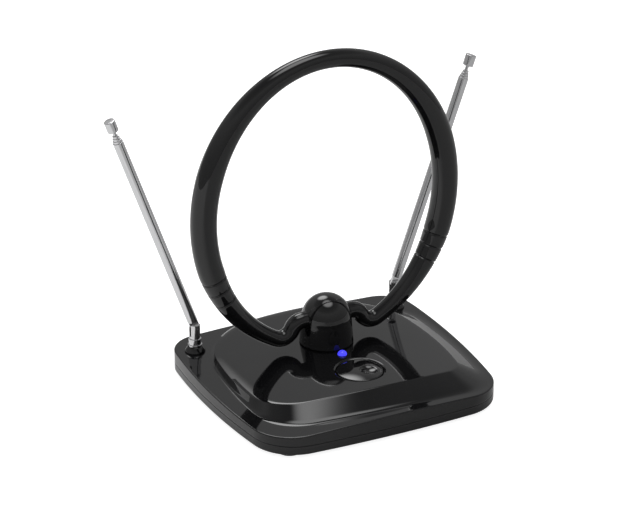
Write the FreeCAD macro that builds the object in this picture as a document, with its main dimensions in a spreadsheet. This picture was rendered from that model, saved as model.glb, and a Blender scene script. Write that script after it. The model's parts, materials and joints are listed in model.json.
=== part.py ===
import FreeCAD, Part
import Sketcher
import math
import os
import re

# Indoor tv antenna: a low gloss base with a raised crowned plateau, a domed post that
# carries a tilting oval loop, and two telescopic rods on swivelling knuckles.
# Millimetres, +Z up, front towards -Y, origin on the ground under the middle of the base.

doc = FreeCAD.newDocument("tv_antenna")
sheet = doc.addObject("Spreadsheet::Sheet", "Dims")

sizes = [
    ("running_gap", 0.06),
    ("free_gap", 0.3),
    ("wall", 2.2),
    ("over_cut", 1.0),
    # base outline: four corner arcs between four gently bowed sides
    ("base_half_width", 91.5),
    ("base_half_depth", 83.7),
    ("base_side_bow", 480.0),
    ("base_end_bow", 900.0),
    ("base_bow_y", 10.5),
    ("base_front_corner", 31.0),
    ("base_back_corner", 22.5),
    ("foot_height", 2.5),
    ("seam_height", 8.8),
    ("rim_height", 17.3),
    ("floor_thickness", 2.2),
    ("under_edge", 1.5),
    ("rim_edge", 0.9),
    ("seam_bevel", 0.35),
    # plateau: sloped sides cut off by a crown that falls towards left and right
    ("rim_side", 13.0),
    ("rim_front", 8.2),
    ("rim_back", 5.7),
    ("slope_rise", 12.0),
    ("slope_side_run", 2.5),
    ("slope_front_run", 17.3),
    ("slope_back_run", 10.5),
    ("slope_side_bow", 450.0),
    ("slope_bow_y", -10.0),
    ("slope_front_bow", 320.0),
    ("slope_back_bow", 580.0),
    ("slope_front_corner", 40.0),
    ("slope_back_corner", 54.0),
    ("upper_front_bow", 2000.0),
    ("upper_front_corner", 50.0),
    ("upper_back_corner", 46.0),
    ("crown_radius", 540.0),
    ("crown_height", 28.1),
    ("crown_edge", 1.0),
    ("slope_foot_fillet", 3.0),
    # feet and case screws, placed from the base's sides
    ("foot_radius", 7.25),
    ("foot_side_inset", 24.9),
    ("foot_front_inset", 17.7),
    ("foot_rear_inset", 22.0),
    ("foot_plug_radius", 2.5),
    ("foot_bevel", 0.6),
    ("screw_side_inset", 31.5),
    ("screw_front_inset", 40.2),
    ("screw_rear_inset", 41.2),
    ("screw_post_radius", 4.6),
    ("screw_head_radius", 2.9),
    ("screw_head_height", 2.0),
    ("screw_head_room", 3.2),
    ("screw_radius", 1.5),
    ("screw_length", 9.0),
    # circuit board under the dial and the lamp
    ("board_half_width", 34.0),
    ("board_front_y", -55.5),
    ("board_back_y", -3.5),
    ("board_height", 10.0),
    ("board_thickness", 1.6),
    ("board_screw_inset", 4.0),
    ("board_post_radius", 3.2),
    ("board_screw_radius", 1.1),
    ("board_screw_depth", 4.0),
    ("board_head_radius", 2.1),
    ("board_head_height", 1.3),
    # dial, its control and its well in the plateau
    ("dial_y", -34.8),
    ("dial_radius", 15.4),
    ("dial_gap", 0.6),
    ("dial_base", 22.9),
    ("dial_rim", 26.2),
    ("dial_top_room", 6.0),
    ("dial_bevel", 0.5),
    ("dial_dome_radius", 42.0),
    ("dial_dimple_radius", 9.0),
    ("dial_dimple_x", 5.0),
    ("dial_dimple_y", -4.2),
    ("dial_dimple_depth", 1.9),
    ("well_bevel_width", 1.7),
    ("well_bevel_depth", 0.7),
    ("well_floor", 22.4),
    ("shaft_radius", 3.0),
    ("shaft_top", 25.2),
    ("shaft_base", 13.0),
    ("control_half_width", 7.0),
    ("control_top", 17.6),
    ("control_neck_radius", 4.2),
    ("control_neck_top", 19.8),
    # lamp
    ("lamp_y", -9.6),
    ("lamp_radius", 3.2),
    ("lamp_shoulder", 27.7),
    ("lamp_flange_radius", 3.9),
    ("lamp_flange_base", 21.0),
    ("lamp_flange_height", 1.2),
    ("lamp_lead", 0.6),
    ("lamp_lead_x", 1.27),
    # cord gland in the rear wall, held across the seam
    ("inlet_height", 9.9),
    ("gland_x", 0.0),
    ("gland_radius", 3.6),
    ("gland_bore", 2.2),
    ("gland_flange_radius", 4.6),
    ("gland_flange", 1.5),
    ("gland_tail", 5.0),
    ("inlet_reveal", 0.4),
    # post: a tapered drum with a round dome, split into a front cover and a rear shell
    ("post_y", 13.5),
    ("post_gap", 0.3),
    ("post_base_radius", 18.2),
    ("dome_radius", 16.8),
    ("dome_height", 45.4),
    ("pivot_height", 47.0),
    ("post_split", 7.0),
    ("post_seam", 0.16),
    ("neck_radius", 17.0),
    ("neck_plug_radius", 14.0),
    ("neck_plug_rise", 4.6),
    ("neck_bore", 9.0),
    # loop: an ellipse that runs into two dipping arms
    ("loop_half_width", 88.24),
    ("loop_half_height", 99.89),
    ("loop_height", 128.2),
    ("loop_top_radius", 6.08),
    ("loop_side_radius", 8.72),
    ("arm_radius", 5.3),
    ("arm_start_turn", 154.5),
    ("taper_start_turn", 105.0),
    ("taper_end_turn", 150.0),
    ("taper_bend_factor", 1.6),
    ("arm_dip_radius", 9.0),
    ("arm_rise_angle", 65.0),
    ("groove_first_turn", 112.1),
    ("groove_second_turn", 117.3),
    ("groove_third_turn", 123.0),
    ("groove_radius", 0.75),
    ("groove_lift", 0.2),
    ("wire_radius", 1.6),
    ("pivot_end", 9.0),
    ("pivot_flange_end", 11.3),
    ("pivot_flange_radius", 6.7),
    ("washer_start", 11.45),
    ("washer_end", 12.65),
    ("washer_radius", 6.8),
    ("washer_seat", 12.8),
    ("washer_seat_radius", 7.3),
    # rod knuckles
    ("rod_side_inset", 15.9),
    ("rod_rear_inset", 24.9),
    ("collar_foot_radius", 6.9),
    ("collar_top_radius", 4.9),
    ("collar_lip", 0.5),
    ("collar_top", 21.2),
    ("rod_boss_radius", 6.0),
    ("rod_boss_base", 10.2),
    ("stem_radius", 3.0),
    ("stem_base", 9.8),
    ("swivel_flange_radius", 4.8),
    ("swivel_flange_base", 21.5),
    ("swivel_flange_top", 22.7),
    ("swivel_drum_radius", 4.25),
    ("swivel_drum_top", 26.8),
    ("fork_radius", 3.65),
    ("fork_bevel", 0.8),
    ("fork_over_pivot", 2.2),
    ("rod_pivot_height", 35.5),
    ("fork_slot_base", 28.6),
    ("stem_screw_radius", 1.4),
    ("stem_screw_length", 6.0),
    ("stem_screw_head_radius", 4.2),
    ("stem_screw_head_height", 1.6),
    ("rivet_radius", 1.2),
    ("rivet_half_length", 3.4),
    # rods, measured along the rod from the knuckle's pivot
    ("rod_lean_angle", 19.8),
    ("tongue_thickness", 2.2),
    ("tongue_half_width", 3.1),
    ("plug_top", 10.0),
    ("tube_base", 4.8),
    ("tube_wall", 0.43),
    ("tube_1_radius", 3.5),
    ("tube_1_top", 151.4),
    ("tube_reveal", 1.7),
    ("tube_rest", 1.0),
    ("tube_bevel", 0.15),
    ("mouth_height", 1.2),
    ("tip_radius", 1.15),
    ("tip_bush", 6.0),
    ("tip_reveal", 3.5),
    ("cap_length", 7.8),
    ("cap_radius", 3.7),
    ("cap_bevel", 0.7),
    ("cap_foot_bevel", 0.35),
    ("cap_socket_depth", 5.0),
]

for row, (alias, value) in enumerate(sizes, 1):
    sheet.set("A%d" % row, alias)
    sheet.set("B%d" % row, str(value))
    sheet.setAlias("B%d" % row, alias)
doc.recompute()

aliases = {alias for alias, value in sizes}
upright = FreeCAD.Vector(0, 0, 1)
sideways = FreeCAD.Vector(1, 0, 0)
backwards = FreeCAD.Vector(0, 1, 0)
nodes = {}


def expand(text):
    def swap(word):
        return "Dims." + word.group() if word.group() in aliases else word.group()
    return re.sub(r"[a-z][a-z0-9_]+", swap, text)


def number(text):
    return float(sheet.evalExpression(expand(text)))


def move(item, x, y, z):
    item.setExpression("Placement.Base.x", expand(x))
    item.setExpression("Placement.Base.y", expand(y))
    item.setExpression("Placement.Base.z", expand(z))
    return item


def aim(item, direction):
    item.Placement = FreeCAD.Placement(FreeCAD.Vector(), FreeCAD.Rotation(upright, direction))
    return item


def drum(name, radius, height, x, y, z, direction=upright):
    item = aim(doc.addObject("Part::Cylinder", name), direction)
    item.setExpression("Radius", expand(radius))
    item.setExpression("Height", expand(height))
    return move(item, x, y, z)


def block(name, length, width, height, x, y, z):
    item = doc.addObject("Part::Box", name)
    item.setExpression("Length", expand(length))
    item.setExpression("Width", expand(width))
    item.setExpression("Height", expand(height))
    return move(item, x, y, z)


def ball(name, radius, x, y, z):
    item = doc.addObject("Part::Sphere", name)
    item.setExpression("Radius", expand(radius))
    return move(item, x, y, z)


def fuse(name, items):
    item = doc.addObject("Part::MultiFuse", name)
    item.Shapes = items
    return item


def cut(name, base, tool):
    item = doc.addObject("Part::Cut", name)
    item.Base = base
    item.Tool = tool
    return item


def common(name, first, second):
    item = doc.addObject("Part::MultiCommon", name)
    item.Shapes = [first, second]
    return item


def group(name, items):
    item = doc.addObject("Part::Compound", name)
    item.Links = items
    return item


def plane(body, role):
    for item in body.Origin.OriginFeatures:
        if item.Role == role:
            return item


def sketch_on(body, name, role):
    sketch = body.newObject("Sketcher::SketchObject", name)
    sketch.AttachmentSupport = [(plane(body, role), "")]
    sketch.MapMode = "FlatFace"
    return sketch


def pin(sketch, edge, point, across, up):
    # a sketch point held by its distances from the origin
    for kind, text, axis in (("DistanceX", across, -2), ("DistanceY", up, -1)):
        if text == "0":
            sketch.addConstraint(Sketcher.Constraint("PointOnObject", edge, point, axis))
        else:
            index = sketch.addConstraint(Sketcher.Constraint(kind, -1, 1, edge, point, number(text)))
            sketch.setExpression("Constraints[%d]" % index, expand(text))


def polygon(sketch, corners):
    points = [FreeCAD.Vector(number(across), number(up), 0) for across, up in corners]
    first = sketch.GeometryCount
    for index, point in enumerate(points):
        sketch.addGeometry(Part.LineSegment(point, points[(index + 1) % len(points)]), False)
    for index in range(len(points)):
        follower = first + (index + 1) % len(points)
        sketch.addConstraint(Sketcher.Constraint("Coincident", first + index, 2, follower, 1))
    for index, (across, up) in enumerate(corners):
        pin(sketch, first + index, 1, across, up)


def ring(sketch, radius, across, up):
    centre = FreeCAD.Vector(number(across), number(up), 0)
    edge = sketch.addGeometry(Part.Circle(centre, upright, number(radius)), False)
    index = sketch.addConstraint(Sketcher.Constraint("Radius", edge, number(radius)))
    sketch.setExpression("Constraints[%d]" % index, expand(radius))
    pin(sketch, edge, 3, across, up)


def turn(body, name, corners):
    sketch = sketch_on(body, name + "_profile", "XZ_Plane")
    polygon(sketch, corners)
    feature = body.newObject("PartDesign::Revolution", name + "_turn")
    feature.Profile = sketch
    feature.ReferenceAxis = (sketch, ["V_Axis"])
    feature.Angle = 360
    body.Tip = feature


def turned(name, corners):
    body = doc.addObject("PartDesign::Body", name)
    turn(body, name, corners)
    return body


def through(body, name, sketch):
    feature = body.newObject("PartDesign::Pocket", name)
    feature.Profile = sketch
    feature.Type = "ThroughAll"
    feature.Midplane = True
    body.Tip = feature


def node(name, item):
    item.Label = name
    nodes[name] = item
    return item


def corner_middle(corner, side, end):
    # the corner arc touches a side arc and an end arc from inside
    (side_x, side_y, side_r), (end_x, end_y, end_r) = side, end
    away = FreeCAD.Vector(end_x - side_x, end_y - side_y, 0)
    near, far = side_r - corner, end_r - corner
    along = (near * near - far * far + away.Length ** 2) / (away.Length + away.Length)
    off = math.sqrt(near * near - along * along)
    unit = away / away.Length
    spots = [FreeCAD.Vector(side_x, side_y, 0) + unit * along + upright.cross(unit) * reach
             for reach in (off, -off)]

    def outward(spot):
        return (spot.x - side_x) * (end_x - side_x) + (spot.y - end_y) * (side_y - end_y)

    return max(spots, key=outward)


def outline(name, half_width, front, back, side_bow, side_y, front_bow, back_bow, front_corner, back_corner,
            inset, level):
    # a closed outline of eight tangent arcs, counter-clockwise from the front end
    sketch = doc.addObject("Sketcher::SketchObject", name)
    long_arcs = [
        ("0", "%s - %s" % (front_bow, front), front_bow),
        ("%s - %s" % (half_width, side_bow), side_y, side_bow),
        ("0", "%s - %s" % (back, back_bow), back_bow),
        ("%s - %s" % (side_bow, half_width), side_y, side_bow)]
    corners = [front_corner, back_corner, back_corner, front_corner]
    measured = [tuple(number(text) for text in arc) for arc in long_arcs]
    circles = []
    for index, corner in enumerate(corners):
        near, far = measured[index], measured[(index + 1) % len(measured)]
        side, end = (far, near) if index % 2 == 0 else (near, far)
        middle = corner_middle(number(corner), side, end)
        circles.append((measured[index], long_arcs[index][2]))
        circles.append(((middle.x, middle.y, number(corner)), corner))
    arcs = []
    for index, ((x, y, radius), text) in enumerate(circles):
        ends = []
        for other in (circles[index - 1][0], circles[(index + 1) % len(circles)][0]):
            toward = FreeCAD.Vector(other[0] - x, other[1] - y, 0)
            away = toward if other[2] < radius else -toward
            ends.append(math.atan2(away.y, away.x))
        first, last = ends
        if last < first:
            last += math.tau
        size = radius - number(inset)
        circle = Part.Circle(FreeCAD.Vector(x, y, 0), upright, size)
        arcs.append(sketch.addGeometry(Part.ArcOfCircle(circle, first, last), False))
    for index, arc in enumerate(arcs):
        follower = arcs[(index + 1) % len(arcs)]
        sketch.addConstraint(Sketcher.Constraint("Tangent", arc, 2, follower, 1))
    for arc, ((x, y, radius), text) in zip(arcs, circles):
        index = sketch.addConstraint(Sketcher.Constraint("Radius", arc, radius - number(inset)))
        sketch.setExpression("Constraints[%d]" % index, expand("%s - (%s)" % (text, inset)))
    for arc, (across, up, radius) in zip(arcs[::2], long_arcs):
        pin(sketch, arc, 3, across, up)
    return move(sketch, "0", "0", level)


slope_width = "(base_half_width - rim_side)"
slope_front = "(base_half_depth - rim_front)"
slope_back = "(base_half_depth - rim_back)"


def base_outline(name, inset, level):
    return outline(
        name, "base_half_width", "base_half_depth", "base_half_depth", "base_side_bow", "base_bow_y",
        "base_end_bow", "base_end_bow", "base_front_corner", "base_back_corner", inset, level)


def slope_outline(name, inset, level):
    return outline(
        name, slope_width, slope_front, slope_back, "slope_side_bow", "slope_bow_y",
        "slope_front_bow", "slope_back_bow", "slope_front_corner", "slope_back_corner", inset, level)


def upper_outline(name, inset, level):
    return outline(
        name, "(%s - slope_side_run)" % slope_width, "(%s - slope_front_run)" % slope_front,
        "(%s - slope_back_run)" % slope_back, "slope_side_bow", "slope_bow_y",
        "upper_front_bow", "slope_back_bow", "upper_front_corner", "upper_back_corner", inset, level)


def raised(name, sketch, height):
    item = doc.addObject("Part::Extrusion", name)
    item.Base = sketch
    item.DirMode = "Custom"
    item.Dir = upright
    item.Solid = True
    item.setExpression("LengthFwd", expand(height))
    return item


def loft(name, sections, ruled):
    item = doc.addObject("Part::Loft", name)
    item.Sections = sections
    item.Solid = True
    item.Ruled = ruled
    return item


def edge_numbers(item, wanted):
    return [index for index, edge in enumerate(item.Shape.Edges, 1) if wanted(edge)]


def rounded(kind, name, base, wanted, radius):
    doc.recompute()
    item = doc.addObject(kind, name)
    item.Base = base
    item.Edges = [(index, number(radius), number(radius)) for index in edge_numbers(base, wanted)]
    return item


def at_level(text):
    level = number(text)

    def wanted(edge):
        box = edge.BoundBox
        return abs(box.ZMin - level) + abs(box.ZMax - level) < number("running_gap")

    return wanted


def on_rim(text):
    level = at_level(text)
    return lambda edge: level(edge) and not inside_slope(edge)


def inside_slope(edge):
    # edges of the slope's foot lie inside the base outline by more than its own wall
    box = edge.BoundBox
    far = max(abs(box.XMin), abs(box.XMax)) > number(slope_width + " + over_cut")
    front = box.YMin < -number(slope_front + " + over_cut")
    back = box.YMax > number(slope_back + " + over_cut")
    return not (far or front or back)


# base top cover: a low rim and the crowned plateau, one shell
seam_line = base_outline("rim_outline", "0", "seam_height")
rim = raised("rim", seam_line, "rim_height - seam_height")
slope = loft(
    "slope",
    [slope_outline("slope_foot", "0", "rim_height"),
     upper_outline("slope_head", "0", "rim_height + slope_rise")], True)


def crown_drum(name, inset):
    return drum(
        name, "crown_radius - (%s)" % inset, "base_half_depth + base_half_depth",
        "0", "-base_half_depth", "crown_height - crown_radius", backwards)


crown = crown_drum("crown", "0")
plateau = common("plateau", slope, crown)
cover_form = fuse("cover_form", [rim, plateau])

rim_room = raised(
    "rim_room", base_outline("rim_room_outline", "wall", "seam_height - over_cut"),
    "rim_height - seam_height - wall + over_cut")
slope_room = loft(
    "slope_room",
    [slope_outline("slope_room_foot", "wall", "rim_height - wall"),
     upper_outline("slope_room_head", "wall", "rim_height + slope_rise - wall")], True)
crown_room = crown_drum("crown_room", "wall")
plateau_room = common("plateau_room", slope_room, crown_room)
room = fuse("room", [rim_room, plateau_room])

inner_posts = [
    drum(
        "well_cup", "dial_radius + dial_gap + wall", "slope_rise",
        "0", "dial_y", "well_floor - wall"),
    drum("neck_pad", "neck_radius", "slope_rise", "0", "post_y", "crown_height - wall - wall"),
]
screw_x = "(base_half_width - screw_side_inset)"
screw_y = {"front": "screw_front_inset - base_half_depth", "rear": "base_half_depth - screw_rear_inset"}
foot_x = "(base_half_width - foot_side_inset)"
foot_y = {"front": "foot_front_inset - base_half_depth", "rear": "base_half_depth - foot_rear_inset"}
rod_x = "(base_half_width - rod_side_inset)"
rod_y = "(base_half_depth - rod_rear_inset)"
screw_spots = []
for side, sign in (("left", "-"), ("right", "")):
    for end in ("front", "rear"):
        screw_spots.append((side + "_" + end, sign + screw_x, screw_y[end]))
    inner_posts.append(drum(
        "rod_boss_" + side, "rod_boss_radius", "rim_height - rod_boss_base",
        sign + rod_x, rod_y, "rod_boss_base"))
for spot, x, y in screw_spots:
    inner_posts.append(drum(
        "screw_boss_" + spot, "screw_post_radius", "slope_rise + wall", x, y, "seam_height"))
room_left = cut("room_left", room, fuse("inner_posts", inner_posts))


def slope_edges(edge):
    return at_level("rim_height")(edge) and inside_slope(edge)


def crown_edges(edge):
    middle = number("crown_height - crown_radius")
    reach = [math.hypot(vertex.X, vertex.Z - middle) for vertex in edge.Vertexes]
    return len(reach) > 1 and min(reach) > number("crown_radius - running_gap")


cover_soft = rounded("Part::Fillet", "cover_soft", cover_form, slope_edges, "slope_foot_fillet")
cover_softer = rounded("Part::Fillet", "cover_softer", cover_soft, crown_edges, "crown_edge")
cover_round = rounded("Part::Fillet", "cover_round", cover_softer, on_rim("rim_height"), "rim_edge")
cover_lined = rounded("Part::Chamfer", "cover_lined", cover_round, at_level("seam_height"), "seam_bevel")
cover_shell = cut("cover_shell", cover_lined, room_left)
cover_necked = fuse("cover_necked", [
    cover_shell,
    drum("neck_step", "neck_radius", "post_gap + wall", "0", "post_y", "crown_height - wall"),
    drum("neck_plug", "neck_plug_radius", "post_gap + neck_plug_rise", "0", "post_y", "crown_height")])
gland_hole = drum(
    "gland_hole", "gland_radius + running_gap", "wall + over_cut + over_cut",
    "gland_x", "base_half_depth - wall - over_cut", "inlet_height", backwards)
well_radius = "dial_radius + dial_gap"
well_edge = "crown_height - well_bevel_depth"
well = turned("well", [
    ("0", "well_floor"),
    (well_radius, "well_floor"),
    (well_radius, well_edge),
    ("%s + well_bevel_width" % well_radius, "crown_height"),
    ("%s + well_bevel_width" % well_radius, "crown_height + over_cut"),
    ("0", "crown_height + over_cut")])
cover_cuts = [
    gland_hole,
    move(well, "0", "dial_y", "0"),
    drum("well_bore", "shaft_radius + free_gap", "slope_rise", "0", "dial_y", "rim_height"),
    drum("lamp_hole", "lamp_radius + running_gap", "slope_rise + over_cut", "0", "lamp_y", "rim_height"),
    drum(
        "neck_hole", "neck_bore", "crown_height + post_gap + neck_plug_rise + over_cut - rim_height",
        "0", "post_y", "rim_height"),
]
for side, sign in (("left", "-"), ("right", "")):
    cover_cuts.append(drum(
        "stem_hole_" + side, "stem_radius + running_gap", "slope_rise + over_cut",
        sign + rod_x, rod_y, "rod_boss_base - over_cut"))
    cover_cuts.append(drum(
        "collar_seat_" + side, "collar_foot_radius + running_gap", "slope_rise",
        sign + rod_x, rod_y, "rim_height"))
for spot, x, y in screw_spots:
    cover_cuts.append(drum(
        "screw_pilot_" + spot, "screw_radius + running_gap", "screw_length + over_cut - screw_head_room",
        x, y, "seam_height - over_cut"))
node("base_top_cover", cut("top_cover", cover_necked, fuse("cover_cuts", cover_cuts)))

# base bottom cover: a shallow tray with posts for the screws and the board
tray_form = raised("tray_form", base_outline("tray_outline", "0", "foot_height"), "seam_height - foot_height")
tray_soft = rounded("Part::Fillet", "tray_soft", tray_form, at_level("foot_height"), "under_edge")
tray_lined = rounded("Part::Chamfer", "tray_lined", tray_soft, at_level("seam_height"), "seam_bevel")
tray_room = raised(
    "tray_room", base_outline("tray_room_outline", "wall", "foot_height + floor_thickness"),
    "seam_height - foot_height")
tray_posts = []
tray_cuts = [gland_hole]
for spot, x, y in screw_spots:
    tray_posts.append(drum(
        "screw_post_" + spot, "screw_post_radius", "seam_height - foot_height - floor_thickness",
        x, y, "foot_height + floor_thickness"))
    tray_cuts.append(drum(
        "screw_recess_" + spot, "screw_head_radius + free_gap", "screw_head_room + over_cut",
        x, y, "foot_height - over_cut"))
    tray_cuts.append(drum(
        "screw_hole_" + spot, "screw_radius + running_gap", "slope_rise", x, y, "foot_height"))
board_spots = []
board_screw_x = "board_half_width - board_screw_inset"
for side, x in (("left", "-(%s)" % board_screw_x), ("right", board_screw_x)):
    board_spots.append((side + "_front", x, "board_front_y + board_screw_inset"))
    board_spots.append((side + "_rear", x, "board_back_y - board_screw_inset"))
tray_tops = []
for spot, x, y in board_spots:
    tray_tops.append(drum(
        "board_post_" + spot, "board_post_radius", "board_height - foot_height - floor_thickness",
        x, y, "foot_height + floor_thickness"))
    tray_cuts.append(drum(
        "board_pilot_" + spot, "board_screw_radius + running_gap", "slope_rise",
        x, y, "board_height - board_screw_depth"))
for side, sign in (("left", "-"), ("right", "")):
    for end in ("front", "rear"):
        tray_cuts.append(drum(
            "foot_hole_%s_%s" % (end, side), "foot_plug_radius + running_gap", "slope_rise",
            sign + foot_x, foot_y[end], "foot_height - over_cut"))
tray_shell = cut("tray_shell", tray_lined, cut("tray_room_left", tray_room, fuse("tray_posts", tray_posts)))
tray_full = fuse("tray_full", [tray_shell] + tray_tops)
node("base_bottom_cover", cut("bottom_cover", tray_full, fuse("tray_cuts", tray_cuts)))

# rubber feet with a plug through the tray
for side, sign in (("left", "-"), ("right", "")):
    for end in ("front", "rear"):
        foot = turned("foot_%s_%s" % (end, side), [
            ("0", "0"),
            ("foot_radius - foot_bevel", "0"),
            ("foot_radius", "foot_bevel"),
            ("foot_radius", "foot_height"),
            ("foot_plug_radius", "foot_height"),
            ("foot_plug_radius", "foot_height + floor_thickness"),
            ("0", "foot_height + floor_thickness")])
        node("foot_%s_%s" % (end, side), move(foot, sign + foot_x, foot_y[end], "0"))

# case screws, in from below
case_screws = []
for spot, x, y in screw_spots:
    head = drum(
        "case_screw_head_" + spot, "screw_head_radius", "screw_head_height",
        x, y, "foot_height + screw_head_room - screw_head_height")
    shank = drum(
        "case_screw_shank_" + spot, "screw_radius", "screw_length - screw_head_height",
        x, y, "foot_height + screw_head_room - over_cut")
    case_screws.append(fuse("case_screw_" + spot, [head, shank]))
node("case_screws", group("case_screw_set", case_screws))

# circuit board with its screws
board_slab = block(
    "board_slab", "board_half_width * 2", "board_back_y - board_front_y", "board_thickness",
    "-board_half_width", "board_front_y", "board_height")
board_holes = []
board_screws = []
for spot, x, y in board_spots:
    board_holes.append(drum(
        "board_hole_" + spot, "board_screw_radius + running_gap", "slope_rise",
        x, y, "board_height - over_cut"))
    head = drum(
        "board_head_" + spot, "board_head_radius", "board_head_height",
        x, y, "board_height + board_thickness")
    shank = drum(
        "board_shank_" + spot, "board_screw_radius", "board_screw_depth + board_thickness",
        x, y, "board_height - board_screw_depth + running_gap")
    board_screws.append(fuse("board_screw_" + spot, [head, shank]))
node("circuit_board", cut("board", board_slab, fuse("board_holes", board_holes)))
node("board_screws", group("board_screw_set", board_screws))

# gain control on the board, its shaft, and the dial in the plateau
control_form = fuse("control_form", [
    block(
        "control_body", "control_half_width * 2", "control_half_width * 2",
        "control_top - board_height - board_thickness", "-control_half_width",
        "dial_y - control_half_width", "board_height + board_thickness"),
    drum(
        "control_neck", "control_neck_radius", "control_neck_top - control_top",
        "0", "dial_y", "control_top")])
control_bore = drum(
    "control_bore", "shaft_radius + running_gap", "slope_rise", "0", "dial_y", "shaft_base - free_gap")
node("gain_control", cut("control", control_form, control_bore))
node("gain_shaft", drum("shaft", "shaft_radius", "shaft_top - shaft_base", "0", "dial_y", "shaft_base"))
dial_drum = turned("dial_drum", [
    ("0", "dial_base"),
    ("dial_radius - dial_bevel", "dial_base"),
    ("dial_radius", "dial_base + dial_bevel"),
    ("dial_radius", "dial_rim + dial_top_room"),
    ("0", "dial_rim + dial_top_room")])
move(dial_drum, "0", "dial_y", "0")
dial_middle = "(dial_rim - sqrt(dial_dome_radius^2 - dial_radius^2))"
dial_cap = ball("dial_cap", "dial_dome_radius", "0", "dial_y", dial_middle)
dial_form = common("dial_form", dial_drum, dial_cap)
dial_dimple = ball(
    "dial_dimple", "dial_dimple_radius", "dial_dimple_x", "dial_y + dial_dimple_y",
    "%s + dial_dome_radius - dial_dimple_depth + dial_dimple_radius" % dial_middle)
dial_bore = drum(
    "dial_bore", "shaft_radius + running_gap", "shaft_top + free_gap - dial_base + over_cut",
    "0", "dial_y", "dial_base - over_cut")
dial_pressed = cut("dial_pressed", dial_form, fuse("dial_cuts", [dial_dimple, dial_bore]))


def dial_lip(edge):
    box = edge.BoundBox
    return abs(box.ZMin - number("dial_rim")) < number("running_gap") and box.XLength > number("dial_radius")


node("gain_dial", rounded("Part::Fillet", "dial", dial_pressed, dial_lip, "dial_bevel"))

# lamp: a domed lens on two leads
lamp_body = turned("lamp_body", [
    ("0", "lamp_flange_base"),
    ("lamp_flange_radius", "lamp_flange_base"),
    ("lamp_flange_radius", "lamp_flange_base + lamp_flange_height"),
    ("lamp_radius", "lamp_flange_base + lamp_flange_height"),
    ("lamp_radius", "lamp_shoulder"),
    ("0", "lamp_shoulder")])
move(lamp_body, "0", "lamp_y", "0")
lamp_lens = ball("lamp_lens", "lamp_radius", "0", "lamp_y", "lamp_shoulder")
lamp_parts = [lamp_body, lamp_lens]
for side, sign in (("left", "-"), ("right", "")):
    lamp_parts.append(block(
        "lamp_lead_" + side, "lamp_lead", "lamp_lead",
        "lamp_flange_base - board_height - board_thickness + over_cut",
        sign + "lamp_lead_x - lamp_lead * 0.5", "lamp_y - lamp_lead * 0.5", "board_height + board_thickness"))
node("power_lamp", fuse("lamp", lamp_parts))

# cord gland, pinched between the two covers at the rear wall
gland = turned("gland", [
    ("gland_bore", "base_half_depth - wall - gland_flange - gland_tail"),
    ("gland_radius", "base_half_depth - wall - gland_flange - gland_tail"),
    ("gland_radius", "base_half_depth - wall - gland_flange"),
    ("gland_flange_radius", "base_half_depth - wall - gland_flange"),
    ("gland_flange_radius", "base_half_depth - wall"),
    ("gland_radius", "base_half_depth - wall"),
    ("gland_radius", "base_half_depth - inlet_reveal"),
    ("gland_bore", "base_half_depth - inlet_reveal")])
aim(gland, backwards)
node("cord_gland", move(gland, "gland_x", "0", "inlet_height"))

# post: drum and dome as one hollow form, split across the front
post_base = "(crown_height + post_gap)"
drum_rise = "(dome_height - %s)" % post_base


def post_form(name, inset):
    cone = doc.addObject("Part::Cone", name + "_drum")
    cone.setExpression("Radius1", expand("post_base_radius - (%s)" % inset))
    cone.setExpression("Radius2", expand("dome_radius - (%s)" % inset))
    cone.setExpression("Height", expand(drum_rise))
    move(cone, "0", "post_y", post_base)
    dome = ball(name + "_dome", "dome_radius - (%s)" % inset, "0", "post_y", "dome_height")
    return fuse(name, [cone, dome])


post_shell = cut("post_shell", post_form("post_outside", "0"), post_form("post_inside", "wall"))
post_reach = "(post_base_radius + over_cut)"
post_span = "(%s + %s)" % (post_reach, post_reach)
post_rise = "(dome_height + dome_radius - %s + over_cut + over_cut)" % post_base
front_side = block(
    "front_side", post_span, post_reach, post_rise, "-%s" % post_reach,
    "post_y - post_split - %s - post_seam" % post_reach, "%s - over_cut" % post_base)
rear_side = block(
    "rear_side", post_span, post_span, post_rise, "-%s" % post_reach,
    "post_y - post_split", "%s - over_cut" % post_base)
node("post_front_cover", common("front_cover", post_shell, front_side))
pivot_bore = drum(
    "pivot_bore", "arm_radius + running_gap", post_span,
    "-%s" % post_reach, "post_y", "pivot_height", sideways)
washer_room = drum(
    "washer_room", "washer_seat_radius", "washer_seat + washer_seat",
    "-washer_seat", "post_y", "pivot_height", sideways)
rear_half = common("rear_half", post_shell, rear_side)
node("post_rear_shell", cut("rear_shell", rear_half, fuse("pivot_cuts", [pivot_bore, washer_room])))
for side, start in (("left", "-washer_end"), ("right", "washer_start")):
    disc = drum(
        "washer_disc_" + side, "washer_radius", "washer_end - washer_start",
        start, "post_y", "pivot_height", sideways)
    eye = drum(
        "washer_eye_" + side, "arm_radius + running_gap", "washer_end + washer_end",
        "-washer_end", "post_y", "pivot_height", sideways)
    node("pivot_washer_" + side, cut("washer_" + side, disc, eye))

# loop: circles along the ellipse, the dip and the rise of one arm, lofted and mirrored
ellipse_steps = 15
dip_steps = 5
rise_steps = 4
dip_heading = "-atan2(loop_half_height * sin(arm_start_turn); -loop_half_width * cos(arm_start_turn)) / 1 deg"
dip_x = "(loop_half_width * sin(arm_start_turn) + arm_dip_radius * sin(%s))" % dip_heading
dip_z = "(loop_height + loop_half_height * cos(arm_start_turn) + arm_dip_radius * cos(%s))" % dip_heading
rise_height = "(pivot_height - %s + arm_dip_radius * cos(arm_rise_angle))" % dip_z
rise_radius = "(%s / (1 - cos(arm_rise_angle)))" % rise_height
rise_x = "(%s - (arm_dip_radius + %s) * sin(arm_rise_angle))" % (dip_x, rise_radius)


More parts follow.
